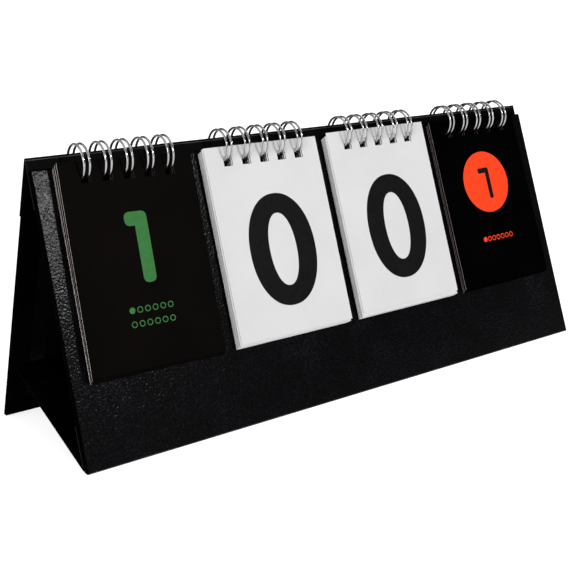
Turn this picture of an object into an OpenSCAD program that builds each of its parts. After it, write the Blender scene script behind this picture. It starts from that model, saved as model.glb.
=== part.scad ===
// Desk countdown calendar: a leatherette tent stand that carries four stacks of flip cards on wire combs.
// Millimetres, +Z up, +X to the right as seen from the front, +Y to the back.
// The origin is on the table, under the middle of the stand's box.

/* [Stand] */
// Width of the stand
stand_w = 250; // [248:1:300]
// Length of the front board, from its foot up the slope
front_len = 107; // [100:1:125]
// Lean of the front board from the vertical, in degrees
front_lean = 16.5; // [13:0.5:20]
// Angle between the front and back panels at the ridge, in degrees
apex_angle = 38; // [35:0.5:40]
// How far the ridge stands above the front board's top edge, up the slope
ridge_rise = 4.6; // [4.4:0.1:4.7]
// Distance from the ridge down to the back board's top edge
back_drop = 9.6; // [9.4:0.1:11]
// Thickness of the greyboard in the front and back panels
board_t = 1.8; // [1.6:0.1:2]
// Thickness of the leatherette and of the lining paper
wrap_t = 0.3; // [0.25:0.05:0.35]
// Width of the leatherette that is turned in over a board's inner face
turn_in = 12; // [10:1:16]

/* [Hinges and strut] */
// Thickness of the hinge cloth
cloth_t = 0.5; // [0.4:0.05:0.6]
// Width of the hinge cloth that is glued to a panel
cloth_leg = 14; // [12:1:20]
// Gap at the ridge between the bead of the cloth and its rear leg
ridge_gap = 1; // [1:0.1:1.4]
// Thickness of the strut's greyboard
strut_board_t = 1.2; // [1:0.1:1.6]
// How far the strut's crease lies above the front board's foot, up the slope
strut_foot = 3; // [2.8:0.1:6]
// Gap between the strut's crease and the strut
strut_gap = 1.3; // [1.2:0.1:2]
// Height of the flap at the strut's far end
flap_h = 16; // [14:1:20]
// Thickness of the flap
flap_t = 0.8; // [0.6:0.1:1.2]
// Width of one patch of hook-and-loop tape
tape_w = 40; // [20:1:60]
// Height of a patch of tape
tape_h = 12; // [8:1:13]
// Thickness of the hook tape, and of the loop tape
tape_t = 1.2; // [1:0.1:1.6]
// Distance between the centres of the two patches
tape_span = 160; // [120:1:170]

/* [Wire combs] */
// Diameter of the wire
wire_d = 0.9; // [0.8:0.05:1]
// Radius of a loop, at the middle of the wire
loop_r = 6.7; // [6.6:0.05:6.8]
// Distance from loop to loop
loop_pitch = 8.467; // [8.2:0.01:8.6]
// Distance between the two wires of a loop
twin_gap = 2.2; // [2:0.1:2.3]
// Radius of the bend where a wire turns along the comb
root_bend = 0.9; // [0.7:0.1:1.1]
// Opening of the seam inside the tent, in degrees
seam_angle = 44; // [42:1:46]
// How far the seam is turned down from level, in degrees
seam_turn = 33; // [32:1:34]
// Length of the straight ends of a loop at the seam
lead = 0.4; // [0.3:0.05:0.5]
// Height of the loops' centre above the front board's top edge, up the slope
loop_up = 0.1; // [0.05:0.05:0.15]

/* [Cards] */
// Width of a card
card_w = 54; // [46:0.5:54]
// Height of a card
card_h = 76; // [60:1:90]
// Thickness of a card
card_t = 0.3; // [0.25:0.01:0.32]
// Air between two cards
card_gap = 0.05; // [0.04:0.01:0.06]
// Air between the front board and the last card of a stack
board_gap = 0.3; // [0.2:0.05:0.4]
// Bare board between an outer stack and the stand's side
end_margin = 8; // [4:1:9]
// How far the front card's top edge lies below the front board's top edge
card_drop = 0.5; // [0.4:0.1:0.6]
// Distance from a card's top edge to the middle of its holes
hole_drop = 5.9; // [5.8:0.05:6]
// Side of a square punched hole
hole_w = 4; // [3.9:0.05:4.2]
// How much lower than the front card the last card of a stack hangs
hang_spread = 0.8; // [0:0.1:0.9]
// How far a card may hang off to one side
sway = 0.35; // [0:0.05:0.35]

/* [Hidden] */
$fn = 48;
// Air between the hook tape and the loop tape
tape_air = 0.1;
// Air between the ridge and a stack that is turned up over it
flip_air = 0.2;
// How far cuts run past the faces they open
over = 1;
loops = 5;
seam_half = seam_angle / 2;
// Each stack: node name, number of cards, number on the front card, digits in the name
STACKS = [
    ["month_card_", 12, 1, 2],
    ["tens_card_", 10, 0, 1],
    ["units_card_", 10, 0, 1],
    ["weekday_card_", 7, 1, 1]
];
COMBS = ["month_comb", "tens_comb", "units_comb", "weekday_comb"];
function card_name(stack, j) =
    let (n = stack[2] + j)
    str(stack[0], stack[3] == 2 && n < 10 ? "0" : "", n);
stack_pitch = (stand_w - 2 * end_margin - card_w) / (len(STACKS) - 1);
function stack_x(k) = (k - (len(STACKS) - 1) / 2) * stack_pitch;
function loop_x(i) = (i - (loops - 1) / 2) * loop_pitch;
// A point of the front board's own plane, as [y, z] from the front foot
function from_front(up, out) = [
    up * sin(front_lean) - out * cos(front_lean),
    up * cos(front_lean) + out * sin(front_lean)
];
panel_t = board_t + 2 * wrap_t;
strut_t = strut_board_t + 2 * wrap_t;
back_lean = apex_angle - front_lean;
// The ridge crease and the strut's crease, each in the middle of its cloth
ridge_up = front_len + ridge_rise;
crease_out = -(panel_t + cloth_t / 2);
ridge_at = from_front(ridge_up, crease_out);
strut_at = from_front(strut_foot, crease_out);
// The back panel hangs inside the cloth: its outer and inner faces, inwards from the ridge crease,
// and the outer face's length down to the table
back_face = cloth_t / 2;
back_in = back_face + panel_t;
back_len = (ridge_at[1] - back_face * sin(back_lean)) / cos(back_lean);
depth = ridge_at[0] + back_len * sin(back_lean) - back_face * cos(back_lean);
foot_y = -depth / 2;
// The strut stands square to the back panel
crease_gap = ridge_at - strut_at;
strut_reach = crease_gap[0] * cos(back_lean) + crease_gap[1] * sin(back_lean) - back_in;
strut_down = crease_gap[1] * cos(back_lean) - crease_gap[0] * sin(back_lean);
flap_end = strut_reach - 2 * tape_t - tape_air;
tape_low = (flap_h - tape_h) / 2;
// The front of a stack, and its loops' centre, both out from the front board
function stack_front(k) = board_gap + STACKS[k][1] * (card_t + card_gap) - card_gap;
function loop_out(k) = (stack_front(k) - panel_t + flip_air) / 2;
// How far below the front board's top edge the inner (-1) or outer (1) side of a loop lies
function wire_drop(k, out, side) =
    sqrt(pow(loop_r + side * wire_d / 2, 2) - pow(loop_out(k) - out, 2)) - loop_up;
// The board's holes are centred on the stretch of wire that passes through them
function board_hole_drop(k) = (wire_drop(k, 0, 1) + wire_drop(k, -panel_t - cloth_t, -1)) / 2;
// The slots in the rear cloth end a little above the back board's top edge
slot_back = back_drop - 3 * cloth_t;

// Frames: on the front board (Y up the slope, Z outwards), on the back panel (Y up, Z inwards)
// and on the strut (Y towards the back panel, Z up)
module on_front() translate([0, foot_y, 0]) rotate([90 - front_lean, 0, 0]) children();
module on_back() translate([0, foot_y + ridge_at[0], ridge_at[1]]) rotate([90 + back_lean, 0, 0]) children();
module on_strut() translate([0, foot_y + strut_at[0], strut_at[1]]) rotate([back_lean, 0, 0]) children();

// A block centred on X, with its other corners given
module block(w, low, high) {
    translate([-w / 2, low[0], low[1]])
        cube([w, high[0] - low[0], high[1] - low[1]]);
}

// What lies above a level of the table
module above(level) {
    intersection() {
        children();
        translate([-stand_w, -depth, level])
            cube([2 * stand_w, 2 * depth, 2 * front_len]);
    }
}

// Openings for the loops of one comb, in a frame whose X is the stand's
module loop_cuts(k, low, high) {
    for (i = [0 : loops - 1])
        translate([stack_x(k) + loop_x(i), 0, 0])
            block(hole_w, low, high);
}

module front_holes() {
    for (k = [0 : len(STACKS) - 1]) {
        middle = front_len - board_hole_drop(k);
        loop_cuts(k, [middle - hole_w / 2, -2 * panel_t], [middle + hole_w / 2, over]);
    }
}

module front_board() color("#8a8378") {
    above(wrap_t) on_front() difference() {
        block(stand_w - 2 * wrap_t, [-over, wrap_t - panel_t], [front_len - wrap_t, -wrap_t]);
        front_holes();
    }
}

module front_wrap() color("#1b1b1f") {
    difference() {
        above(0) on_front() difference() {
            block(stand_w, [-over, -panel_t], [front_len, 0]);
            block(stand_w - 2 * turn_in, [turn_in, -2 * panel_t], [front_len - turn_in, wrap_t - panel_t]);
            front_holes();
        }
        above(wrap_t) on_front()
            block(stand_w - 2 * wrap_t, [-over, wrap_t - panel_t], [front_len - wrap_t, -wrap_t]);
    }
}

module front_lining() color("#0d0d0f") {
    on_front()
        block(stand_w - 2 * turn_in, [turn_in, -panel_t], [front_len - turn_in, wrap_t - panel_t]);
}

module ridge_cloth() color("#111113") {
    on_front() difference() {
        union() {
            block(stand_w, [front_len - cloth_leg, -panel_t - cloth_t], [ridge_up, -panel_t]);
            translate([-stand_w / 2, ridge_up, crease_out])
                rotate([0, 90, 0])
                    cylinder(d = cloth_t, h = stand_w);
        }
        front_holes();
    }
}

module strut_cloth() color("#111113") {
    on_front() union() {
        block(stand_w, [strut_foot, -panel_t - cloth_t], [strut_foot + cloth_leg, -panel_t]);
        translate([-stand_w / 2, strut_foot, crease_out])
            rotate([0, 90, 0])
                cylinder(d = cloth_t, h = stand_w);
    }
}

module back_board() color("#8a8378") {
    above(wrap_t) on_back()
        block(stand_w - 2 * wrap_t, [-back_len - over, back_face + wrap_t], [-back_drop - wrap_t, back_in - wrap_t]);
}

module back_wrap() color("#1b1b1f") {
    difference() {
        above(0) on_back() difference() {
            block(stand_w, [-back_len - over, back_face], [-back_drop, back_in]);
            block(stand_w - 2 * turn_in, [turn_in - back_len, back_in - wrap_t], [-back_drop - turn_in, 2 * panel_t]);
        }
        above(wrap_t) on_back()
            block(stand_w - 2 * wrap_t, [-back_len - over, back_face + wrap_t], [-back_drop - wrap_t, back_in - wrap_t]);
    }
}

module back_lining() color("#0d0d0f") {
    on_back()
        block(stand_w - 2 * turn_in, [turn_in - back_len, back_in - wrap_t], [-back_drop - turn_in, back_in]);
}

module ridge_cloth_rear() color("#111113") {
    on_back() difference() {
        block(stand_w, [-back_drop - cloth_leg, -cloth_t / 2], [-ridge_gap, cloth_t / 2]);
        for (k = [0 : len(STACKS) - 1])
            loop_cuts(k, [-slot_back, -over], [over, over]);
    }
}

module loop_tape() color("#202024") {
    on_back()
        for (side = [-1, 1])
            translate([side * tape_span / 2, 0, 0])
                block(tape_w, [tape_low - strut_down, back_in], [tape_low + tape_h - strut_down, back_in + tape_t]);
}

module strut_board() color("#8a8378") {
    on_strut()
        block(stand_w - 2 * wrap_t, [strut_gap + wrap_t, wrap_t - strut_t], [flap_end - flap_t - wrap_t, -wrap_t]);
}

module strut_wrap() color("#1b1b1f") {
    on_strut() difference() {
        block(stand_w, [strut_gap, -strut_t], [flap_end - flap_t, 0]);
        block(stand_w - 2 * wrap_t, [strut_gap + wrap_t, wrap_t - strut_t], [flap_end - flap_t - wrap_t, -wrap_t]);
    }
}

module strut_flap() color("#151518") {
    on_strut()
        block(stand_w - 2 * turn_in, [flap_end - flap_t, -strut_t], [flap_end, flap_h]);
}

module hook_tape() color("#202024") {
    on_strut()
        for (side = [-1, 1])
            translate([side * tape_span / 2, 0, 0])
                block(tape_w, [flap_end, tape_low], [flap_end + tape_t, tape_low + tape_h]);
}

// Part of a round wire bent about Z, from the X axis
module bent_wire(radius, angle) {
    rotate_extrude(angle = angle)
        translate([radius, 0])
            circle(d = wire_d);
}

// One strand of a loop. Z runs along the comb, and the seam opens towards +X.
module strand() {
    rotate([0, 0, seam_half])
        bent_wire(loop_r, 360 - seam_angle);
    rotate([0, 0, seam_half])
        translate([loop_r, 0, 0])
            rotate([90, 0, 0])
                cylinder(d = wire_d, h = lead);
    rotate([0, 0, -seam_half])
        translate([loop_r, 0, 0])
            rotate([-90, 0, 0])
                cylinder(d = wire_d, h = lead);
}

// Two strands, joined at the tip
module twin_loop() {
    for (side = [-1, 1])
        translate([0, 0, side * twin_gap / 2])
            strand();
    rotate([0, 0, seam_half])
        translate([loop_r, -lead, 0])
            rotate([0, 0, 180])
                rotate([0, -90, 0])
                    bent_wire(twin_gap / 2, 180);
}

// From the root of a strand, half the way along to the next loop
module half_link() {
    rotate([0, 0, -seam_half])
        translate([loop_r, lead, twin_gap / 2 + root_bend]) {
            rotate([0, 90, 0])
                bent_wire(root_bend, 90);
            translate([0, root_bend, 0])
                cylinder(d = wire_d, h = (loop_pitch - twin_gap) / 2 - root_bend);
        }
}

// One comb is one wire: each loop goes round and back, and a link leads to the next
module comb_wire() {
    for (i = [0 : loops - 1])
        translate([0, 0, loop_x(i)]) {
            twin_loop();
            if (i < loops - 1)
                half_link();
            if (i > 0)
                mirror([0, 0, 1])
                    half_link();
        }
}

module comb(k) color("#c9ccd0") {
    on_front()
        translate([stack_x(k), front_len + loop_up, loop_out(k)])
            rotate([0, 90, 0])
                rotate([0, 0, -seam_turn])
                    comb_wire();
}

// Card j of a stack, counted from the front: each hangs a little lower than the one before it
module card(k, j) color(k == 1 || k == 2 ? "#f2f1ee" : "#15110f") {
    count = STACKS[k][1];
    back = count - 1 - j;
    out = board_gap + back * (card_t + card_gap);
    hang = card_drop + hang_spread * j / (count - 1);
    aside = sway * sin(140 * j + 75 * k);
    on_front()
        translate([stack_x(k) + aside, front_len - hang, out])
            difference() {
                block(card_w, [-card_h, 0], [0, card_t]);
                for (i = [0 : loops - 1])
                    translate([loop_x(i), -hole_drop, 0])
                        block(hole_w, [-hole_w / 2, -over], [hole_w / 2, card_t + over]);
            }
}

front_board();
front_wrap();
front_lining();
ridge_cloth();
strut_cloth();
back_board();
back_wrap();
back_lining();
ridge_cloth_rear();
loop_tape();
strut_board();
strut_wrap();
strut_flap();
hook_tape();
for (k = [0 : len(COMBS) - 1])
    comb(k);
for (k = [0 : len(STACKS) - 1])
    for (j = [0 : STACKS[k][1] - 1])
        card(k, j);
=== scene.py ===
import math

import bpy
import numpy as np
from mathutils import Matrix, Vector


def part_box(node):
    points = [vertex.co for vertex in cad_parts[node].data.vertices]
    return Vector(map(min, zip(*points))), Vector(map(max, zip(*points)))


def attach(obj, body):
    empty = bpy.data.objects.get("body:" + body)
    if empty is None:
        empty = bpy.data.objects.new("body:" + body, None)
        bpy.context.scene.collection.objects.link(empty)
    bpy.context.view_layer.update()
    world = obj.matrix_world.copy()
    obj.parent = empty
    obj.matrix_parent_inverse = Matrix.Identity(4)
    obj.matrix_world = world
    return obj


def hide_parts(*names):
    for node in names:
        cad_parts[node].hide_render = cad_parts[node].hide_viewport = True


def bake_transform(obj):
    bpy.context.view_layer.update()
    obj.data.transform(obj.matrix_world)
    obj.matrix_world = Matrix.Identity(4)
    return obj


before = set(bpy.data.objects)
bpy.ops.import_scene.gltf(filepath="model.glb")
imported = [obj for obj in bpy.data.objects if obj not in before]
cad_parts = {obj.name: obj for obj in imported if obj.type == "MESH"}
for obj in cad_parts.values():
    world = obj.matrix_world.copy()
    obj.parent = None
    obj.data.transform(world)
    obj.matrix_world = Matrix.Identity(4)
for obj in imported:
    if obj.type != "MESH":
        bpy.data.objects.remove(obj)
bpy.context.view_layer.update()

# Front board: a stiff greyboard wrapped in black grained leatherette, cut off level at the foot.
# The leatherette is glued round the board's edges, and the wire's holes are punched through it.
LEAN = math.radians(16.5)
WIDTH, FRONT_LEN, PANEL, CLOTH, WRAP_ROUND = 250.0, 107.0, 2.4, 0.5, 0.55
FOOT_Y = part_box("front_wrap")[0].y * 1000
STACK_X = [-90.0, -30.0, 30.0, 90.0]
LOOP_PITCH = 8.467
LOOP_X = np.arange(-2, 3) * LOOP_PITCH
WIRE, LOOP_R, LOOP_UP = 0.45, 6.7, FRONT_LEN + 0.1
LOOP_OUT = [1.125, 0.775, 0.775, 0.25]
HOLE = 4.0


def on_front(points):
    """(across, up the slope from the foot, out of the face) in mm, turned by the lean
    and moved to the front foot, in metres."""
    a, b, c = np.moveaxis(np.asarray(points, float), -1, 0)
    y = FOOT_Y + b * math.sin(LEAN) - c * math.cos(LEAN)
    z = b * math.cos(LEAN) + c * math.sin(LEAN)
    return np.stack((a, y, z), -1) / 1000


def board_shell(width, foot, top, thick, edge, holes=(), lean=0.0, steps=4):
    """A flat board with rounded edges: its points, its faces, and a mark on each face:
    0 on the front, 1 on the flat of the edge, 2 in the holes, 3 on the edge's rounds,
    4 on the back, 5 on the round along the front of the foot.

    The two sides are one grid at height 0 and at minus the thickness, with lines
    along the holes and close to the edges. The edge is a quarter round, a flat and a
    quarter round, carried round the outline. The foot is sheared by the lean, so that it
    stands level."""
    band, sheared = 0.2, 6.0
    hole_a = [v for h in holes for v in h[:2]]
    hole_b = [v for h in holes for v in h[2:]]
    near = (edge, edge + band)
    ends_a = [sign * (width / 2 - inset) for sign in (-1, 1) for inset in near]
    ends_b = [foot + inset for inset in near] + [top - inset for inset in near]
    even_a, even_b = np.linspace(-width / 2, width / 2, 9)[1:-1], np.linspace(foot, top, 7)[1:-1]
    lines_a = np.unique(np.round(np.r_[even_a, ends_a, hole_a], 6))
    lines_b = np.unique(np.round(np.r_[even_b, ends_b, hole_b], 6))
    a, b = np.meshgrid(lines_a, lines_b, indexing="ij")
    side = np.stack((a, b, np.zeros_like(a)), -1).reshape(-1, 3)
    at = np.arange(a.size).reshape(a.shape)
    mid_a, mid_b = (lines_a[1:] + lines_a[:-1]) / 2, (lines_b[1:] + lines_b[:-1]) / 2
    cut = np.zeros((len(mid_a), len(mid_b)), bool)
    for a0, a1, b0, b1 in holes:
        cut |= ((mid_a > a0) & (mid_a < a1))[:, None] & ((mid_b > b0) & (mid_b < b1))[None, :]
    corners = np.stack((at[:-1, :-1], at[1:, :-1], at[1:, 1:], at[:-1, 1:]), -1)
    flats = np.concatenate((corners[~cut], corners[~cut][:, ::-1] + a.size))
    walls = []
    for k, (da, db) in enumerate(((0, -1), (1, 0), (0, 1), (-1, 0))):
        beside = cut & ~np.roll(cut, (-da, -db), (0, 1))
        p, q = corners[beside][:, k], corners[beside][:, (k + 1) % 4]
        walls.append(np.stack((p, q, q + a.size, p + a.size), -1))
    walls = np.concatenate(walls)
    turn = np.linspace(0, math.pi / 2, steps + 1)
    outline, facing = [], []
    runs = (side[at[:, 0]], side[at[-1, :]], side[at[::-1, -1]], side[at[0, ::-1]])
    for k, line in enumerate(runs):
        start = (k - 1) * math.pi / 2
        outline += [line[:, :2], np.repeat(line[-1:, :2], steps - 1, 0)]
        facing += [np.full(len(line), start), start + turn[1:-1]]
    outline, facing = np.concatenate(outline), np.concatenate(facing)
    reach = np.r_[edge * np.sin(turn), edge * np.cos(turn)]
    depth = np.r_[edge * (np.cos(turn) - 1), edge * (1 - np.sin(turn)) - thick]
    rim = np.stack((outline[:, None, 0] + reach * np.cos(facing)[:, None],
                    outline[:, None, 1] + reach * np.sin(facing)[:, None],
                    np.broadcast_to(depth, (len(outline), len(depth)))), -1)
    ring = 2 * a.size + np.arange(rim.shape[0] * rim.shape[1]).reshape(rim.shape[:2])
    after = np.roll(ring, -1, 0)
    edges = np.stack((ring[:, :-1], ring[:, 1:], after[:, 1:], after[:, :-1]), -1).reshape(-1, 4)
    rim_marks = np.tile(np.where(np.arange(len(depth) - 1) == steps, 1, 3), (len(outline), 1))
    rim_marks[:len(lines_a), :steps] = 5
    points = np.concatenate((side, side - (0, 0, thick), rim.reshape(-1, 3)))
    lower = np.clip(1 - (points[:, 1] - foot) / sheared, 0, 1)
    points[:, 1] -= points[:, 2] * math.tan(lean) * lower
    marks = np.r_[np.repeat((0, 4), len(flats) // 2), np.full(len(walls), 2), rim_marks.ravel()]
    return points, np.concatenate((flats, walls, edges)), marks


def add_piece(name, points, faces, marks, coats, sharp=40):
    """A mesh object at the origin, smooth but for edges sharper than the angle. Points that agree
    to a ten-thousandth of a millimetre are merged, and a face with two corners in one place
    becomes a triangle. marks choose each face's coat."""
    keys = np.round(np.asarray(points) * 1e7).astype(np.int64)
    _, first, same = np.unique(keys, axis=0, return_index=True, return_inverse=True)
    points, same = np.asarray(points)[first], same.reshape(-1)
    loops = [list(dict.fromkeys(same[np.asarray(face)].tolist())) for face in faces]
    whole = np.array([len(loop) > 2 for loop in loops])
    mesh = bpy.data.meshes.new(name)
    mesh.from_pydata(points.tolist(), [], [loop for loop in loops if len(loop) > 2])
    for one in coats:
        mesh.materials.append(one)
    mesh.polygons.foreach_set("material_index", np.asarray(marks)[whole].astype(np.int32))
    mesh.polygons.foreach_set("use_smooth", np.ones(len(mesh.polygons), bool))
    mesh.set_sharp_from_angle(angle=math.radians(sharp))
    mesh.update()
    piece = bpy.data.objects.new(name, mesh)
    bpy.context.scene.collection.objects.link(piece)
    return piece


def coat(name, colour, rough, metal=0.0, gloss=0.5):
    """A new material, a function that adds a node to it, and a function that links a socket
    to its shader."""
    made = bpy.data.materials.new(name)
    made.use_nodes = True
    tree = made.node_tree
    shader = tree.nodes["Principled BSDF"]
    shader.inputs["Base Color"].default_value = (*colour, 1)
    shader.inputs["Roughness"].default_value = rough
    shader.inputs["Metallic"].default_value = metal
    shader.inputs["Specular IOR Level"].default_value = gloss

    def node(kind, settings=None, **inputs):
        n = tree.nodes.new("ShaderNode" + kind)
        for key, value in (settings or {}).items():
            setattr(n, key, value)
        for key, value in inputs.items():
            socket = n.inputs[int(key[1:])] if key[0] == "_" else n.inputs[key.replace("_", " ")]
            if isinstance(value, bpy.types.NodeSocket):
                tree.links.new(value, socket)
            else:
                socket.default_value = value
        return n

    return made, node, lambda source, socket: tree.links.new(source, shader.inputs[socket])


def ramp(node, factor, stops):
    """A colour ramp over the factor, with stops of (place, colour)."""
    n = node("ValToRGB", Fac=factor)
    for element, (place, colour) in zip(n.color_ramp.elements, (stops[0], stops[-1])):
        element.position, element.color = place, (*colour, 1)
    for place, colour in stops[1:-1]:
        n.color_ramp.elements.new(place).color = (*colour, 1)
    return n.outputs["Color"]


def uneven_sheen(node, into, pattern, low, high):
    """Roughness that goes from low to high over the middle of a noise pattern's range."""
    sheen = node("MapRange", Value=pattern, From_Min=0.3, From_Max=0.7, To_Min=low, To_Max=high)
    into(sheen.outputs[0], "Roughness")


def leatherette_coat(name, gloss, relief, paleness):
    """Embossed grain: domes a little under a millimetre across from a cell pattern, broken by
    soft noise. The domes' sides lean a few degrees each way, so that only some of them catch
    the light."""
    made, node, into = coat(name, (0.002, 0.002, 0.0025), 0.24, gloss=gloss)
    here = node("TexCoord").outputs["Object"]
    domes = node("TexVoronoi", {"feature": "SMOOTH_F1"}, Vector=here, Scale=1150.0, Smoothness=0.4)
    pebble = domes.outputs["Distance"]
    fine = node("TexNoise", Vector=here, Scale=1500.0, Detail=0.5, Roughness=0.5).outputs["Fac"]
    broad = node("TexNoise", Vector=here, Scale=60.0, Detail=2.0).outputs["Fac"]
    height = node("Math", {"operation": "MULTIPLY_ADD"}, _0=pebble, _1=-0.7, _2=fine).outputs[0]
    into(node("Bump", Strength=1.0, Distance=relief, Height=height).outputs["Normal"], "Normal")
    speck = node("Math", {"operation": "MULTIPLY"}, _0=fine, _1=broad).outputs[0]
    tones = [(0.16, (0.001, 0.001, 0.0013)), (0.34, (0.0028, 0.0028, 0.0035)),
             (0.5, (0.008, 0.008, 0.0095))]
    tones = [(place, tuple(paleness * v for v in colour)) for place, colour in tones]
    into(ramp(node, speck, tones), "Base Color")
    uneven_sheen(node, into, broad, 0.23, 0.17)
    return made


# Drawn tight round an edge or turned in behind, the grain is flat and dull.
# Its colour there is darkened to 0.4 as painted shade for the edges, holes and inside of the tent.
# Along the front round of the foot the colour is made twelve times paler: a painted highlight.
DEEP_GRAIN, FLAT_GRAIN = 0.00006, 0.00002
leatherette = leatherette_coat("leatherette", 0.055, DEEP_GRAIN, 1.0)
painted_shade_edge = leatherette_coat("leatherette_edge_painted_shade", 0.0, FLAT_GRAIN, 0.4)
painted_highlight_foot = leatherette_coat("leatherette_foot_highlight", 0.1, FLAT_GRAIN, 12.0)
board_coats = [leatherette] + [painted_shade_edge] * 4 + [painted_highlight_foot]
# Each hole is centred on the stretch of wire that passes through the board and the cloth behind it.
wire_in = [math.sqrt((LOOP_R + WIRE) ** 2 - out**2) for out in LOOP_OUT]
wire_through = [math.sqrt((LOOP_R - WIRE) ** 2 - (out + PANEL + CLOTH) ** 2) for out in LOOP_OUT]
HOLE_UP = [LOOP_UP - (one + two) / 2 for one, two in zip(wire_in, wire_through)]
front_holes = [(x + l - HOLE / 2, x + l + HOLE / 2, up - HOLE / 2, up + HOLE / 2)
               for x, up in zip(STACK_X, HOLE_UP) for l in LOOP_X]
# The board stops a little short of the wire's middle, so that a card can stand up over it.
CARD_ROOM = 0.5
FRONT_TOP = FRONT_LEN - CARD_ROOM
points, faces, marks = board_shell(WIDTH, 0.0, FRONT_TOP, PANEL, WRAP_ROUND, front_holes, LEAN)
front_cover = add_piece("front_cover", on_front(points), faces, marks, board_coats)
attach(front_cover, "stand")
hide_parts("front_board", "front_wrap")

# Front lining: black paper pasted over the turned-in leatherette on the board's inner face.
# It is a thin sheet, so only its edge stands proud.
TURN_IN, PAPER, PAPER_MID = 12.0, 0.1, 0.06
PAPER_SIDE, PAPER_FOOT, PAPER_TOP = TURN_IN - 4, TURN_IN + 6, 15.0


def thick_sheet(middle, normal, thick, cut=None):
    """A sheet of even thickness about a grid of points: the grid moved half the thickness along
    its normals and back again, with walls along the outline and along the cells cut out."""
    n, m = middle.shape[:2]
    there = np.ones((n - 1, m - 1), bool) if cut is None else ~cut
    front = (middle + normal * thick / 2).reshape(-1, 3)
    back = (middle - normal * thick / 2).reshape(-1, 3)
    at = np.arange(n * m).reshape(n, m)
    corners = np.stack((at[:-1, :-1], at[1:, :-1], at[1:, 1:], at[:-1, 1:]), -1)
    padded = np.pad(there, 1)
    faces = [corners[there], corners[there][:, ::-1] + n * m]
    for k, (da, db) in enumerate(((0, -1), (1, 0), (0, 1), (-1, 0))):
        bare = there & ~padded[1 + da:n + da, 1 + db:m + db]
        p, q = corners[bare][:, k], corners[bare][:, (k + 1) % 4]
        faces.append(np.stack((q, p, p + n * m, q + n * m), -1))
    faces = np.concatenate(faces)
    return np.concatenate((front, back)), faces, np.zeros(len(faces), int)


def flat_grid(a, b, c):
    """A flat grid over the lines a and b at height c, and its normals."""
    grid_a, grid_b = np.meshgrid(a, b, indexing="ij")
    middle = np.stack((grid_a, grid_b, np.full_like(grid_a, c)), -1)
    return middle, np.broadcast_to(np.array((0.0, 0.0, 1.0)), middle.shape)


def paper_coat(name, dark, light, rough, gloss):
    """Matt paper: two tones mixed by long fibres and broad clouds, with a fine tooth."""
    made, node, into = coat(name, light, rough, gloss=gloss)
    here = node("TexCoord").outputs["Object"]
    fibre = node("TexNoise", Vector=here, Scale=900.0, Detail=4.0, Roughness=0.65).outputs["Fac"]
    cloud = node("TexNoise", Vector=here, Scale=45.0, Detail=2.0).outputs["Fac"]
    both = node("Math", {"operation": "MULTIPLY_ADD"}, _0=fibre, _1=0.5, _2=cloud).outputs[0]
    into(ramp(node, both, [(0.5, dark), (0.95, light)]), "Base Color")
    into(node("Bump", Strength=0.12, Distance=0.00005, Height=fibre).outputs["Normal"], "Normal")
    uneven_sheen(node, into, fibre, rough - 0.06, rough + 0.06)
    return made


lining_paper = paper_coat("lining_paper", (0.0006, 0.0006, 0.0007), (0.0015, 0.0015, 0.0017),
                          0.72, 0.02)
across = np.linspace(PAPER_SIDE - WIDTH / 2, WIDTH / 2 - PAPER_SIDE, 13)
up_slope = np.linspace(PAPER_FOOT, FRONT_LEN - PAPER_TOP, 7)
middle, normal = flat_grid(across, up_slope, -PANEL - PAPER_MID)
points, faces, marks = thick_sheet(middle, normal, PAPER)
front_paper = add_piece("front_paper", on_front(points), faces, marks, [lining_paper])
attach(front_paper, "stand")
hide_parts("front_lining")

# Back panel: a second wrapped board, which hangs from the ridge cloth and leans back to the table.
# Its inner face is lined with the same black paper.
APEX = math.radians(38.0)
BACK_LEAN = APEX - LEAN
RIDGE_RISE, BACK_DROP = 4.6, 9.6
RIDGE_UP, CREASE = FRONT_LEN + RIDGE_RISE, -(PANEL + CLOTH / 2)
RIDGE_Y, RIDGE_Z = on_front((0, RIDGE_UP, CREASE))[1:] * 1000
BACK_LEN = (RIDGE_Z - CLOTH / 2 * math.sin(BACK_LEAN)) / math.cos(BACK_LEAN)
BACK_TOP, BACK_PAPER_FOOT = BACK_LEN - BACK_DROP, TURN_IN - 2


def on_back(points):
    """(across, up from the foot, out of the outer face) in mm, turned by the back's lean
    and hung from the ridge, in metres."""
    a, b, c = np.moveaxis(np.asarray(points, float), -1, 0)
    down, out = BACK_LEN - b, c - CLOTH / 2
    y = RIDGE_Y + down * math.sin(BACK_LEAN) + out * math.cos(BACK_LEAN)
    z = RIDGE_Z - down * math.cos(BACK_LEAN) + out * math.sin(BACK_LEAN)
    return np.stack((-a, y, z), -1) / 1000


back_leatherette = leatherette_coat("leatherette_back", 0.16, DEEP_GRAIN, 1.0)
back_coats = [back_leatherette] + board_coats[1:]
points, faces, marks = board_shell(WIDTH, 0.0, BACK_TOP, PANEL, WRAP_ROUND, (), BACK_LEAN)
back_cover = add_piece("back_cover", on_back(points), faces, marks, back_coats)
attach(back_cover, "back_panel")
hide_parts("back_board", "back_wrap")
up_slope = np.linspace(BACK_PAPER_FOOT, BACK_TOP - PAPER_SIDE, 7)
middle, normal = flat_grid(across, up_slope, -PANEL - PAPER_MID)
points, faces, marks = thick_sheet(middle, normal, PAPER)
back_paper = add_piece("back_paper", on_back(points), faces, marks, [lining_paper])
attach(back_paper, "back_panel")
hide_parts("back_lining")

# Ridge strip: smooth black book cloth, glued behind the front board and outside the back panel.
# It is folded once along the ridge. The wire goes through its holes in front and slots behind.
CLOTH_LEG, RIDGE_BEND, BLEND_HALF = 14.0, 0.26, 0.5
# Where the painted highlight lies: its distance under the fold, and half its height.
HIGHLIGHT_DOWN, HIGHLIGHT_HALF = 1.05, 0.12


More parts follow.
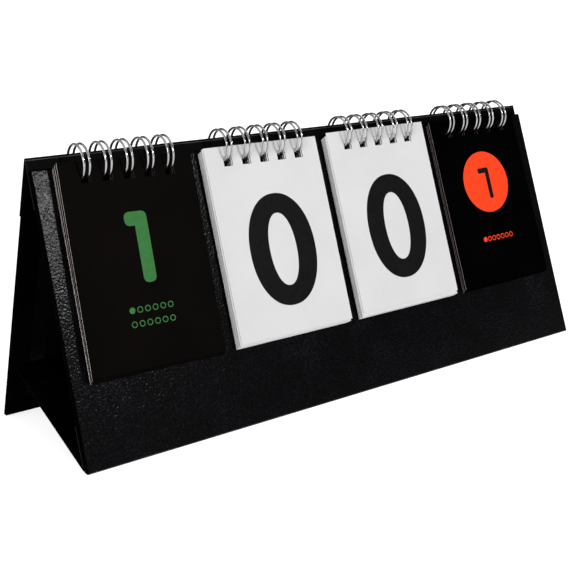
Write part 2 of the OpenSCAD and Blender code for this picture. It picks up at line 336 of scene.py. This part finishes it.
def cloth_coat(name):
    """Book cloth: two sets of fine threads crossing, filled with black size, with a painted
    highlight close under the fold, a broken line of grey."""
    made, node, into = coat(name, (0.002, 0.002, 0.0022), 0.42, gloss=0.012)
    here = node("TexCoord").outputs["Object"]
    threads = {"Vector": here, "Scale": 900.0, "Distortion": 0.6, "Detail": 1.0}
    warp = node("TexWave", {"bands_direction": "X"}, **threads).outputs["Fac"]
    weft = node("TexWave", {"bands_direction": "Z"}, **threads).outputs["Fac"]
    weave = node("Math", {"operation": "MULTIPLY"}, _0=warp, _1=weft).outputs[0]
    worn = node("TexNoise", Vector=here, Scale=150.0, Detail=3.0).outputs["Fac"]
    into(node("Bump", Strength=0.15, Distance=0.00005, Height=weave).outputs["Normal"], "Normal")
    sized = ramp(node, worn, [(0.35, (0.0008, 0.0008, 0.001)), (0.7, (0.0025, 0.0025, 0.0028))])
    # Painted highlight: a thin grey line a set distance under the fold, broken up by the noise.
    up = node("SeparateXYZ", Vector=here).outputs["Z"]
    line = node("Math", {"operation": "COMPARE"}, _0=up, _1=(RIDGE_Z - HIGHLIGHT_DOWN) / 1000,
                _2=HIGHLIGHT_HALF / 1000).outputs[0]
    fold_highlight = node("Math", {"operation": "MULTIPLY"}, _0=line, _1=worn).outputs[0]
    grey = (0.10, 0.10, 0.105, 1)
    tone = node("Mix", {"data_type": "RGBA"}, Factor=fold_highlight, _6=sized, _7=grey).outputs[2]
    into(tone, "Base Color")
    uneven_sheen(node, into, worn, 0.34, 0.5)
    return made


# The fold counts as next to nothing in the distances along a strip.
FOLD = 0.01


def folded_strip(start, corner, end, bend, cuts, steps=7):
    """The middle line of a strip in the side view: straight from start to the corner, round it,
    and straight to end. cuts are further places on the two straights, as distances from the
    corner, minus before it. Gives the points, the normals and the distances."""
    start, corner, end = (np.asarray(p, float) for p in (start, corner, end))
    before, after = np.linalg.norm(start - corner), np.linalg.norm(end - corner)
    one, two = (start - corner) / before, (end - corner) / after
    half = math.acos(float(np.clip(one @ two, -1, 1))) / 2
    lead = bend / math.tan(half)
    far = np.sort(np.r_[before, [-c for c in cuts if c < 0], lead])[::-1]
    near = np.sort(np.r_[lead, [c for c in cuts if c > 0], after])
    tip = -(one + two) / np.linalg.norm(one + two)
    beside = (two - one) / np.linalg.norm(two - one)
    swing = np.linspace(-1, 1, steps + 2)[1:-1, None] * (math.pi / 2 - half)
    rounded = tip * np.cos(swing) + beside * np.sin(swing)
    arc = corner - tip * bend / math.sin(half) + bend * rounded
    line = np.concatenate((corner + one * far[:, None], arc, corner + two * near[:, None]))
    slope = np.gradient(line, axis=0)
    slope /= np.linalg.norm(slope, axis=1)[:, None]
    slope[:len(far)], slope[-len(near):] = -one, two
    normal = np.stack((-slope[:, 1], slope[:, 0]), 1)
    return line, normal, np.r_[-far, np.linspace(-FOLD, FOLD, steps), near]


def along_stand(across, line):
    """The side view's points repeated at each place across the stand."""
    shape = (len(across), len(line))
    sides = (across[:, None], line[:, 0], line[:, 1])
    return np.stack([np.broadcast_to(v, shape) for v in sides], -1)


book_cloth = cloth_coat("book_cloth")
SLOT_START, SLOT_END = -0.4 * FOLD, BACK_DROP - 3 * CLOTH
hole_rows = np.array([(up - HOLE / 2 - RIDGE_UP, up + HOLE / 2 - RIDGE_UP) for up in HOLE_UP])
ridge = np.array((RIDGE_Y, RIDGE_Z))
front_end = on_front((0, FRONT_LEN - CLOTH_LEG, CREASE))[1:] * 1000
rear_end = ridge + (BACK_DROP + CLOTH_LEG) * np.array((math.sin(BACK_LEAN), -math.cos(BACK_LEAN)))
cuts = (*np.unique(hole_rows.round(6)), SLOT_END)
line, out, along = folded_strip(front_end, ridge, rear_end, RIDGE_BEND, cuts)
slots = np.array([(x + l - HOLE / 2, x + l + HOLE / 2) for x in STACK_X for l in LOOP_X])
across = np.unique(np.round(np.r_[-WIDTH / 2, slots.ravel(), WIDTH / 2], 6))
between, step = (across[1:] + across[:-1]) / 2, (along[1:] + along[:-1]) / 2
cut = np.zeros((len(between), len(step)), bool)
for k, (low, high) in enumerate(hole_rows):
    row = slots[len(LOOP_X) * k:len(LOOP_X) * (k + 1)]
    at_loop = ((between[:, None] > row[:, 0]) & (between[:, None] < row[:, 1])).any(1)
    opened = ((step > SLOT_START) & (step < SLOT_END)) | ((step > low) & (step < high))
    cut |= at_loop[:, None] & opened[None, :]
normal = along_stand(across * 0, out)
points, faces, marks = thick_sheet(along_stand(across, line), normal, CLOTH, cut)
ridge_strip = add_piece("ridge_strip", points / 1000, faces, marks, [book_cloth])
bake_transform(ridge_strip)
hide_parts("ridge_cloth", "ridge_cloth_rear")

# Strut: a thinner wrapped board low inside the tent, which keeps the two panels apart.
# A cloth hinge joins it to the front board's foot, and a flap at its far end is taped to the back.
STRUT, STRUT_GAP, STRUT_ROUND, STRUT_UP = 1.8, 1.3, 0.45, 3.0
FLAP, TAPE, TAPE_ROOM = 0.8, 1.2, 0.1
MITRE, HINGE_BEND, TUCK = math.radians(54), 0.2, 0.5
CREASE_Y, CREASE_Z = on_front((0, STRUT_UP, CREASE))[1:] * 1000
run, rise = RIDGE_Y - CREASE_Y, RIDGE_Z - CREASE_Z
REACH = run * math.cos(BACK_LEAN) + rise * math.sin(BACK_LEAN) - CLOTH / 2 - PANEL
FLAP_END = REACH - 2 * TAPE - TAPE_ROOM


def on_strut(points):
    """(across, along from the crease, up from the top face) in mm, turned by the back's lean
    and moved to the crease, in metres."""
    a, b, c = np.moveaxis(np.asarray(points, float), -1, 0)
    y = CREASE_Y + b * math.cos(BACK_LEAN) - c * math.sin(BACK_LEAN)
    z = CREASE_Z + b * math.sin(BACK_LEAN) + c * math.cos(BACK_LEAN)
    return np.stack((a, y, z), -1) / 1000


def recoat(node_name, made):
    """Puts a coat on a solid that is shown as it is."""
    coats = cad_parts[node_name].data.materials
    coats.clear()
    coats.append(made)


far_end = FLAP_END - FLAP
points, faces, marks = board_shell(WIDTH, STRUT_GAP, far_end, STRUT, STRUT_ROUND, (), -MITRE)
# The strut, low inside the tent, wears only the darkened coat: painted shade.
strut_cover = add_piece("strut_cover", on_strut(points), faces, marks, [painted_shade_edge] * 6)
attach(strut_cover, "strut")
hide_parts("strut_board", "strut_wrap")
hinge_top = on_front((0, STRUT_UP + CLOTH_LEG, CREASE))[1:] * 1000
tuck = on_strut((0, STRUT_GAP + TUCK, -STRUT / 2))[1:] * 1000
line, out, _ = folded_strip(hinge_top, (CREASE_Y, CREASE_Z), tuck, HINGE_BEND, (-6.0, -2.0))
across = np.linspace(-WIDTH / 2, WIDTH / 2, 11)
points, faces, marks = thick_sheet(along_stand(across, line), along_stand(across * 0, out), CLOTH)
strut_hinge = add_piece("strut_hinge", points / 1000, faces, marks, [book_cloth])
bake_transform(strut_hinge)
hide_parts("strut_cloth")
recoat("strut_flap", book_cloth)


# Hook-and-loop tape: two patches on the flap and two facing them on the back panel.
# The loop side is a soft pile, and the hook side is rows of stiff bristles.
def tape_coat(name, scale, rough):
    """A dark pile from a cell pattern, with a painted highlight on the top of each tuft or hook and
    painted shade at its foot.
    """
    made, node, into = coat(name, (0.01, 0.01, 0.011), rough)
    here = node("TexCoord").outputs["Object"]
    tuft = node("TexVoronoi", Vector=here, Scale=scale, Randomness=0.7).outputs["Distance"]
    # Painted light and shade on each tuft: lighter at its middle, darker towards its foot.
    pile = [(0.1, (0.022, 0.022, 0.025)), (0.7, (0.004, 0.004, 0.005))]
    into(ramp(node, tuft, pile), "Base Color")
    into(node("Bump", Strength=0.8, Distance=0.0004, Height=tuft).outputs["Normal"], "Normal")
    return made


for node_name, scale, rough in (("loop_tape", 1600.0, 0.9), ("hook_tape", 1100.0, 0.6)):
    recoat(node_name, tape_coat(node_name, scale, rough))

# Wire combs: bright twin-loop binding wire, one bent length for each stack.
# Each loop goes round and back, and a short link inside the tent leads to the next loop.
TWIN, BEND, LEAD = 2.2, 0.9, 0.4
SEAM, SEAM_TURN = math.radians(22), math.radians(33)


def comb_path():
    """The middle of the wire as (across, inwards, up) from the loops' centre: round a loop from
    one side of the seam to the other, over the tip, back again, and along the link to the next
    loop. The seam is turned down."""
    sweep = np.linspace(2 * math.pi - SEAM, SEAM, 49)
    tip = np.linspace(0, math.pi, 9)[1:-1]
    bend = np.linspace(0, math.pi / 2, 6)
    cos, sin = math.cos(SEAM), math.sin(SEAM)
    loop = LOOP_R * np.stack((np.cos(sweep), np.sin(sweep)), 1)
    over = LEAD + TWIN / 2 * np.sin(tip)[:, None]
    over = np.array((cos, sin)) * LOOP_R + np.array((sin, -cos)) * over
    link = LEAD + BEND * np.sin(bend)[:, None]
    link = np.array((cos, -sin)) * LOOP_R + np.array((sin, cos)) * link
    runs = []
    for i, x in enumerate(LOOP_X):
        if i > 0:
            into_loop = x - TWIN / 2 - BEND + BEND * np.cos(bend)[::-1]
            runs.append(np.column_stack((into_loop, link[::-1])))
        runs.append(np.column_stack((np.full(len(loop), x - TWIN / 2), loop)))
        runs.append(np.column_stack((x - TWIN / 2 * np.cos(tip), over)))
        runs.append(np.column_stack((np.full(len(loop), x + TWIN / 2), loop[::-1])))
        if i < len(LOOP_X) - 1:
            runs.append(np.column_stack((x + TWIN / 2 + BEND - BEND * np.cos(bend), link)))
    across, inwards, up = np.concatenate(runs).T
    cos, sin = math.cos(SEAM_TURN), math.sin(SEAM_TURN)
    return np.column_stack((across, inwards * cos + up * sin, up * cos - inwards * sin))


def tube(path, middle, centre_out, radius, sides=12):
    """A round wire along a path of (across, inwards, up): rings of points square to the path,
    with a flat cap at each end."""
    slope = np.gradient(path, axis=0)
    slope /= np.linalg.norm(slope, axis=1)[:, None]
    away = path * (0, 1, 1)
    away -= slope * (away * slope).sum(1)[:, None]
    away /= np.linalg.norm(away, axis=1)[:, None]
    beside = np.cross(slope, away)
    turn = np.linspace(0, 2 * math.pi, sides, endpoint=False)[:, None]
    rings = path[:, None] + radius * (away[:, None] * np.cos(turn) + beside[:, None] * np.sin(turn))
    at = np.arange(len(path) * sides).reshape(len(path), sides)
    nxt = np.roll(at, -1, 1)
    quads = np.stack((at[:-1], nxt[:-1], nxt[1:], at[1:]), -1).reshape(-1, 4)
    faces = [*quads, at[0][::-1], at[-1]]
    across, inwards, up = np.moveaxis(rings, -1, 0)
    place = np.stack((across + middle, LOOP_UP + up, centre_out - inwards), -1)
    return place.reshape(-1, 3), faces, np.zeros(len(faces), int)


def wire_coat(name):
    """Plated wire with a few duller patches, bright in front of the ridge and darkened behind it by
    painted shade, which stands in for the dark reflections there."""
    bright_to, dark_from, painted_shade_colour = -0.0115, -0.0065, (0.035, 0.035, 0.036, 1)
    made, node, into = coat(name, (0.3, 0.3, 0.305), 0.16, metal=1.0)
    here = node("TexCoord").outputs["Object"]
    dull = node("TexNoise", Vector=here, Scale=320.0, Detail=3.0).outputs["Fac"]
    plated = ramp(node, dull, [(0.3, (0.30, 0.30, 0.305)), (0.65, (0.46, 0.46, 0.465))])
    # Painted shade: towards the back of the loops the colour goes from plated to near black.
    back = node("SeparateXYZ", Vector=here).outputs["Y"]
    behind = node("MapRange", Value=back, From_Min=bright_to, From_Max=dark_from).outputs[0]
    tone = node("Mix", {"data_type": "RGBA"}, Factor=behind, _6=plated, _7=painted_shade_colour).outputs[2]
    into(tone, "Base Color")
    uneven_sheen(node, into, dull, 0.1, 0.22)
    return made


bright_wire = wire_coat("bright_wire")
for name, x, out in zip(("month", "tens", "units", "weekday"), STACK_X, LOOP_OUT):
    points, faces, marks = tube(comb_path(), x, out, WIRE)
    wire = add_piece(name + "_wire", on_front(points), faces, marks, [bright_wire], sharp=60)
    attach(wire, name + "_comb")
    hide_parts(name + "_comb")

# Cards: stiff card printed on both faces, with the paper's own colour showing on the cut edges.
# Each has five square holes punched for the wire, and hangs a little higher or lower than the next.
CARD_W, CARD_H, CARD_T, CARD_ROUND, HOLE_DROP = 54.0, 76.0, 0.3, 0.07, 5.9


def card_place(node):
    """Where the solid of a card is: across, top edge up the slope, and front face out of the
    board, from its box."""
    low, high = (np.array(p) * 1000 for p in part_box(node))
    y, z = high[1] - FOOT_Y, high[2] - CARD_T * math.sin(LEAN)
    top, back = y * math.sin(LEAN) + z * math.cos(LEAN), z * math.sin(LEAN) - y * math.cos(LEAN)
    return (low[0] + high[0]) / 2, top, back + CARD_T


def hung(points, node, turned, lift, aside):
    """A card's own points, (across, up from its top edge, out of its front), turned in its plane
    about the row of holes, lifted, shifted aside, and moved to where the card hangs."""
    a, b, c = np.moveaxis(np.asarray(points, float), -1, 0)
    x, top, out = card_place(node)
    turn = math.radians(turned)
    below, cos, sin = b + HOLE_DROP, math.cos(turn), math.sin(turn)
    across = x + aside + a * cos + below * sin
    up = top + lift - HOLE_DROP + below * cos - a * sin
    return on_front(np.stack((across, up, out + c), -1))


def edge_coat(name, dark, light):
    """The cut edge of card: layers of fibre, lighter and darker along the edge."""
    made, node, into = coat(name, light, 0.85, gloss=0.2)
    here = node("TexCoord").outputs["Object"]
    layer = node("TexNoise", Vector=here, Scale=700.0, Detail=3.0).outputs["Fac"]
    into(ramp(node, layer, [(0.3, dark), (0.7, light)]), "Base Color")
    into(node("Bump", Strength=0.3, Distance=0.00005, Height=layer).outputs["Normal"], "Normal")
    return made


card_holes = [(l - HOLE / 2, l + HOLE / 2, -HOLE_DROP - HOLE / 2, HOLE / 2 - HOLE_DROP)
              for l in LOOP_X]
card_points, card_faces, card_marks = board_shell(CARD_W, -CARD_H, 0.0, CARD_T, CARD_ROUND,
                                                  card_holes, steps=2)
month_face = paper_coat("month_black", (0.0018, 0.0012, 0.0012), (0.0030, 0.0020, 0.0019),
                        0.5, 0.008)
month_edges = [edge_coat("month_edge_pale", (0.72, 0.64, 0.61), (0.92, 0.84, 0.81)),
               edge_coat("month_edge_dark", (0.10, 0.08, 0.075), (0.24, 0.20, 0.19))]
digit_face = paper_coat("digit_white", (0.565, 0.56, 0.562), (0.595, 0.592, 0.595), 0.5, 0.1)
digit_edges = [edge_coat("digit_edge_pale", (0.50, 0.45, 0.44), (0.70, 0.64, 0.63)),
               edge_coat("digit_edge_dull", (0.16, 0.14, 0.14), (0.34, 0.30, 0.295))]
weekday_face = paper_coat("weekday_black", (0.0005, 0.0004, 0.0004), (0.0011, 0.0009, 0.0009),
                          0.5, 0.0)
weekday_edges = [edge_coat("weekday_edge_pale", (0.22, 0.19, 0.18), (0.42, 0.37, 0.35)),
                 edge_coat("weekday_edge_dark", (0.02, 0.017, 0.016), (0.06, 0.05, 0.046))]
# The walls of the holes get a near-black edge coat: painted shade for the hollow through the stack.
hole_wall_shade = edge_coat("hole_wall_shade", (0.02, 0.018, 0.018), (0.07, 0.064, 0.062))
# Each stack: its cards from the front, their coats and slot, how its first and its last cards hang
# on the wire (turned in degrees, lifted and shifted aside in mm), and over how many cards the one
# becomes the other. Every third card shows its darker edge.
stacks = {
    "month": (["month_card_%02d" % n for n in range(1, 13)],
              month_face, month_edges, "month_card", (1.4, 0.2, 0.0), (0.7, -0.55, 0.0), 11),
    "tens": (["tens_card_%d" % n for n in range(10)],
             digit_face, digit_edges, "digit_card", (0.1, 0.0, 0.0), (0.1, -0.6, 0.0), 3),
    "units": (["units_card_%d" % n for n in range(10)],
              digit_face, digit_edges, "digit_card", (-0.2, 0.8, 0.12), (-0.2, -0.5, 0.0), 1),
    "weekday": (["weekday_card_%d" % n for n in range(1, 8)],
                weekday_face, weekday_edges, "weekday_card",
                (-0.8, 0.45, 0.0), (-0.6, -0.2, 0.0), 3),
}
hang = {}
for nodes, face, cut_edges, slot, first, others, settle in stacks.values():
    for k, node_name in enumerate(nodes):
        share = min(1.0, k / settle)
        hang[node_name] = np.array(first) * (1 - share) + np.array(others) * share
        coats = [face, cut_edges[k % 3 // 2], hole_wall_shade, face, face, face]
        leaf_points = hung(card_points, node_name, *hang[node_name])
        leaf_name = node_name.replace("card", "leaf")
        leaf = add_piece(leaf_name, leaf_points, card_faces, card_marks, coats, sharp=50)
        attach(leaf, node_name)
        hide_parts(node_name)

# Printing: ink on the front of each card, a film far thinner than the card.
# Month cards have a green number over pips, and digit cards a black number.
# Weekday cards have an orange disc with a black number, over pips.
INK_FOOT, INK, INK_STEP = 0.004, 0.012, 0.0006
PIP, PIP_HOLLOW = 1.15, 0.8
# Numbers: their centre across and up from the card's top edge, width, height and half a stroke.
MONTH_PRINT, MONTH_PAIR = (0, -33.1, 11.5, 26.1, 2.58), (0, -33.1, 22, 26.1, 2.58)
DIGIT_PRINT, WEEKDAY_PRINT = (0, -43.0, 30.0, 44.6, 4.4), (0.1, -31.2, 9.5, 14.4, 1.2)
ZERO_X, ZERO_Y = 0.5, -43.1
ZERO_OUTER, ZERO_INNER = np.array((15.6, 22.35)), np.array((6.4, 14.45))
DISC_X, DISC_Y, DISC_R = 0.1, -30.5, 14.1
# Pips: how many, how many in a row, the first one's place across, their step, the row's height
# and the step down to the next row.
MONTH_PIPS, WEEKDAY_PIPS = (12, 6, -7.75, 3.1, -55.2, 5.0), (7, 7, -8.4, 2.8, -56.4, 0.0)


def ink_coat(name, dark, light, rough):
    """Printing ink: a slightly mottled solid colour, a little smoother than the card."""
    made, node, into = coat(name, light, rough, gloss=0.03)
    here = node("TexCoord").outputs["Object"]
    mottle = node("TexNoise", Vector=here, Scale=500.0, Detail=3.0).outputs["Fac"]
    into(ramp(node, mottle, [(0.3, dark), (0.7, light)]), "Base Color")
    uneven_sheen(node, into, mottle, rough - 0.05, rough + 0.05)
    return made


def stroke(path, half, tip=10):
    """One pen stroke: points to the left and right of a path at half the pen's width, narrowing
    past each end as a rounded square does."""
    square, least = 2.6, 0.0004
    path = np.asarray(path, float)
    slope = np.gradient(path, axis=0)
    slope /= np.linalg.norm(slope, axis=1)[:, None]
    past = np.sin(np.linspace(0, math.pi / 2, tip + 1))[1:]
    before = path[0] - slope[0] * half * past[::-1, None]
    after = path[-1] + slope[-1] * half * past[:, None]
    line = np.concatenate((before, path, after))
    slope = np.concatenate((np.repeat(slope[:1], tip, 0), slope, np.repeat(slope[-1:], tip, 0)))
    beyond = np.r_[past[::-1], np.zeros(len(path)), past]
    width = half * np.clip(1 - beyond**square, least, 1) ** (1 / square)
    beside = np.stack((-slope[:, 1], slope[:, 0]), 1) * width[:, None]
    return np.stack((line - beside, line + beside), 1)


def oval_ring(cx, cy, outer, inner, count=72):
    """A closed band between two ovals, each slightly squarer than an ellipse."""
    turn = np.linspace(0, 2 * math.pi, count + 1)
    unit = np.stack((np.cos(turn), np.sin(turn)), 1)
    squarer = 0.94
    unit = np.sign(unit) * np.abs(unit) ** squarer
    return np.stack((unit * outer, unit * inner), 1) + (cx, cy)


def bow(cx, cy, rx, ry, start, end, count=31):
    """Part of an oval, from one angle to another in degrees."""
    turn = np.radians(np.linspace(start, end, count))
    return np.stack((cx + rx * np.cos(turn), cy + ry * np.sin(turn)), 1)


def straight(*corners):
    """Straight runs through the corners, with points a twelfth of each run apart."""
    corners = np.asarray(corners, float)
    share = np.linspace(0, 1, 13)[:, None]
    return np.concatenate([a + (b - a) * share for a, b in zip(corners[:-1], corners[1:])])


# The pen's way for each digit, in a box one wide and one high about its middle.
DIGIT_WAYS = {
    0: [bow(0, 0, 0.5, 0.5, 90, 450, 61)],
    1: [straight((-0.38, 0.5), (0.24, 0.5)), straight((0.24, 0.5), (0.24, -0.5))],
    2: [np.concatenate((bow(0, 0.2, 0.48, 0.3, 170, -35),
                        straight((0.36, -0.02), (-0.48, -0.5))[1:])),
        straight((-0.48, -0.5), (0.5, -0.5))],
    3: [bow(-0.02, 0.25, 0.44, 0.25, 160, -90), bow(-0.02, -0.25, 0.48, 0.25, 90, -160)],
    4: [straight((0.2, -0.5), (0.2, 0.5)), straight((0.2, 0.5), (-0.5, -0.2)),
        straight((-0.5, -0.2), (0.5, -0.2))],
    5: [straight((0.42, 0.5), (-0.38, 0.5)), straight((-0.38, 0.5), (-0.42, 0.06)),
        np.concatenate((straight((-0.42, 0.06), (-0.3, 0.1)),
                        bow(-0.02, -0.18, 0.5, 0.32, 125, -155)))],
    6: [bow(0, -0.17, 0.5, 0.33, 90, 450, 61), bow(0.16, -0.12, 0.66, 0.62, 180, 84)],
    7: [straight((-0.5, 0.5), (0.48, 0.5)), straight((0.48, 0.5), (-0.14, -0.5))],
    8: [bow(0, 0.25, 0.42, 0.25, 90, 450, 61), bow(0, -0.24, 0.5, 0.26, 90, 450, 61)],
    9: [bow(0, 0.17, 0.5, 0.33, 90, 450, 61), bow(-0.16, 0.12, 0.66, 0.62, 0, -96)],
}


def number_bands(number, cx, cy, wide, tall, half):
    """The strokes of a number of one or two digits about a centre, in a box of the given size,
    as bands. Two digits stand a little apart."""
    digits = [int(d) for d in str(number)]
    share = wide / len(digits)
    apart = 0.92 if len(digits) > 1 else 1
    inside = (share * apart - 2 * half, tall - 2 * half)
    middles = [cx + (k - (len(digits) - 1) / 2) * share for k in range(len(digits))]
    return [stroke(way * inside + (mid, cy), half)
            for mid, digit in zip(middles, digits) for way in DIGIT_WAYS[digit]]


def disc(cx, cy, radius, count):
    """A filled round, as a band between its rim and its centre."""
    rim = bow(cx, cy, radius, radius, 0, 360, count + 1)
    return np.stack((rim, np.full_like(rim, (cx, cy))), 1)


def pips(number, count, in_row, first, step, up, down):
    """Rows of small round marks, as many of them filled as the number says."""
    places = [(first + step * (n % in_row), up - down * (n // in_row)) for n in range(count)]
    return [disc(*place, PIP, 24) if n < number else oval_ring(*place, PIP, PIP_HOLLOW, 24)
            for n, place in enumerate(places)]


def print_on(name, node_name, layers, coats):
    """Thin films of ink on a card's front: each band of left and right points, raised a hair
    above the one before."""
    points, faces, marks, count = [], [], [], 0
    for k, (band, mark) in enumerate(layers):
        n = len(band)
        flat = np.concatenate((band[:, 0], band[:, 1]))
        for height in (INK_FOOT, INK + INK_STEP * k):
            points.append(np.column_stack((flat, np.full(2 * n, height))))
        left, far = np.arange(n), np.arange(n) + n
        up = 2 * n
        sheet = np.stack((left[:-1], left[1:], far[1:], far[:-1]), -1)
        wall_left = np.stack((left[:-1], left[1:], left[1:] + up, left[:-1] + up), -1)
        wall_far = np.stack((far[1:], far[:-1], far[:-1] + up, far[1:] + up), -1)
        ends = np.array([[far[0], left[0], left[0] + up, far[0] + up],
                         [left[-1], far[-1], far[-1] + up, left[-1] + up]])
        part = [sheet + up, sheet[:, ::-1], wall_left, wall_far]
        closed = np.allclose(band[0], band[-1])
        part = np.concatenate(part if closed else part + [ends])
        faces.append(part + count)
        marks.append(np.full(len(part), mark))
        count += 4 * n
    place = hung(np.concatenate(points), node_name, *hang[node_name])
    piece = add_piece(name, place, np.concatenate(faces), np.concatenate(marks), coats, sharp=30)
    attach(piece, node_name)
    return piece


green_ink = ink_coat("green_ink", (0.032, 0.138, 0.036), (0.040, 0.158, 0.044), 0.5)
black_ink = ink_coat("black_ink", (0.0043, 0.0039, 0.0041), (0.0066, 0.0060, 0.0063), 0.45)
orange_ink = ink_coat("orange_ink", (0.80, 0.045, 0.010), (0.88, 0.056, 0.013), 0.5)
for stack, (nodes, _, _, slot, *_) in stacks.items():
    for node_name in nodes:
        number = int(node_name.rsplit("_", 1)[1])
        if stack == "month":
            inks = [green_ink]
            layout = MONTH_PRINT if number < 10 else MONTH_PAIR
            bands = number_bands(number, *layout) + pips(number, *MONTH_PIPS)
            layers = [(band, 0) for band in bands]
        elif stack == "weekday":
            inks = [orange_ink, black_ink]
            layers = [(disc(DISC_X, DISC_Y, DISC_R, 72), 0)]
            layers += [(band, 1) for band in number_bands(number, *WEEKDAY_PRINT)]
            layers += [(band, 0) for band in pips(number, *WEEKDAY_PIPS)]
        else:
            inks = [black_ink]
            layers = [(band, 0) for band in number_bands(number, *DIGIT_PRINT)]
            if number == 0:
                layers = [(oval_ring(ZERO_X, ZERO_Y, ZERO_OUTER, ZERO_INNER), 0)]
        printed = print_on(node_name.replace("card", "print"), node_name, layers, inks)

# Camera: it stands to the left of the calendar and a little above it, as in the photograph.
# Place, turn and lens were fitted to the corners of the cards, the boards and the ridge.
PICTURE, FOCAL, CENTRE_X, CENTRE_Y, FILM = 576, 1055.9, 283.9, 200, 36
azimuth, elevation, roll = np.radians((35.829, 9.590, -2.025))
stand_point = np.array((-0.26655, -0.35355, 0.14994))
ahead = np.array((math.sin(azimuth) * math.cos(elevation),
                  math.cos(azimuth) * math.cos(elevation), -math.sin(elevation)))
level = np.array((math.cos(azimuth), -math.sin(azimuth), 0.0))
above = np.cross(level, ahead)
right = math.cos(roll) * level + math.sin(roll) * above
upward = math.cos(roll) * above - math.sin(roll) * level
turned = np.column_stack((right, upward, -ahead, stand_point))
eye = bpy.data.objects.new("eye", bpy.data.cameras.new("eye"))
eye.matrix_world = Matrix(np.vstack((turned, (0, 0, 0, 1))).tolist())
eye.data.sensor_width = FILM
eye.data.lens = FOCAL / PICTURE * FILM
eye.data.shift_x = (PICTURE / 2 - CENTRE_X) / PICTURE
eye.data.shift_y = (CENTRE_Y - PICTURE / 2) / PICTURE
eye.data.clip_start = 0.01
bpy.context.scene.collection.objects.link(eye)
bpy.context.scene.camera = eye

# Floor and light: a white table top that sweeps up far behind, under a bright studio ceiling.
# A small key light stands in front on the right, a fill light on the left, and one at each side.
# They are the stage, not part of the calendar.
FLOOR_NEAR, FLOOR_FLAT, FLOOR_END, FLOOR_RISE, FLOOR_GLOW = 0.3, 3.0, 16.0, 3.0, 0.80
rings = np.r_[0.0, np.geomspace(FLOOR_NEAR, FLOOR_END, 40)]
turn, reach = np.meshgrid(np.linspace(0, 2 * math.pi, 65), rings, indexing="ij")
climb = np.clip((reach - FLOOR_FLAT) / (FLOOR_END - FLOOR_FLAT), 0, 1)
behind = (0.5 + 0.5 * np.cos(turn - math.atan2(ahead[1], ahead[0]))) ** 2
rise = FLOOR_RISE * behind * climb**2 * (3 - 2 * climb)
ground = np.stack((reach * np.cos(turn), reach * np.sin(turn), rise), -1)
at = np.arange(turn.size).reshape(turn.shape)
quads = np.stack((at[:-1, :-1], at[:-1, 1:], at[1:, 1:], at[1:, :-1]), -1).reshape(-1, 4)
pale, node, into = coat("pale_table", (0.5, 0.5, 0.5), 0.6, gloss=0.1)
here = node("TexCoord").outputs["Object"]
cloud = node("TexNoise", Vector=here, Scale=3.0, Detail=2.0).outputs["Fac"]
into(ramp(node, cloud, [(0.2, (0.495, 0.495, 0.495)), (0.8, (0.505, 0.505, 0.505))]), "Base Color")
pale_shader = pale.node_tree.nodes["Principled BSDF"]
pale_shader.inputs["Emission Color"].default_value = (1, 1, 1, 1)
pale_shader.inputs["Emission Strength"].default_value = FLOOR_GLOW
no_marks = np.zeros(len(quads), int)
table_top = add_piece("table_top", ground.reshape(-1, 3), quads, no_marks, [pale])


def soft_light(name, place, target, size, power):
    """A square area light at a place, facing a target."""
    lamp = bpy.data.lights.new(name, "AREA")
    lamp.size, lamp.energy = size, power
    holder = bpy.data.objects.new(name, lamp)
    facing = (Vector(place) - Vector(target)).to_track_quat("Z", "Y")
    holder.matrix_world = Matrix.Translation(place) @ facing.to_matrix().to_4x4()
    bpy.context.scene.collection.objects.link(holder)


MIDDLE, KEY_MIDDLE = (0.0, 0.0, 0.05), (0.0, 0.0, 0.06)
soft_light("front_right", (0.40, -1.15, 0.59), KEY_MIDDLE, 0.14, 7.1)
soft_light("fill_left", (-1.2, -0.75, 0.45), MIDDLE, 0.5, 7.0)
soft_light("side_left", (-1.5, 0.6, 0.5), MIDDLE, 0.8, 6.0)
soft_light("side_right", (1.5, 0.6, 0.6), MIDDLE, 0.8, 9.0)
world = bpy.data.worlds.new("studio")
world.use_nodes = True
sky = world.node_tree
height = sky.nodes.new("ShaderNodeSeparateXYZ")
sky.links.new(sky.nodes.new("ShaderNodeTexCoord").outputs["Generated"], height.inputs[0])
brightest = sky.nodes.new("ShaderNodeMath")
brightest.operation = "MAXIMUM"
# Overhead the studio is bright, in between it is dim, and at the horizon it is as pale as the
# table. Each range: from and to which height, and the brightness at each.
SKY_RANGES = ((0.4, 0.8, 0.10, 0.75), (0.03, 0.09, 1.0, 0.10))
for k, sky_range in enumerate(SKY_RANGES):
    glow = sky.nodes.new("ShaderNodeMapRange")
    glow.interpolation_type = "SMOOTHSTEP"
    for socket, value in zip(("From Min", "From Max", "To Min", "To Max"), sky_range):
        glow.inputs[socket].default_value = value
    sky.links.new(height.outputs["Z"], glow.inputs["Value"])
    sky.links.new(glow.outputs[0], brightest.inputs[k])
sky.links.new(brightest.outputs[0], sky.nodes["Background"].inputs["Strength"])
sky.nodes["Background"].inputs["Color"].default_value = (1, 1, 1, 1)
bpy.context.scene.world = world
bpy.context.scene.view_settings.view_transform = "Standard"
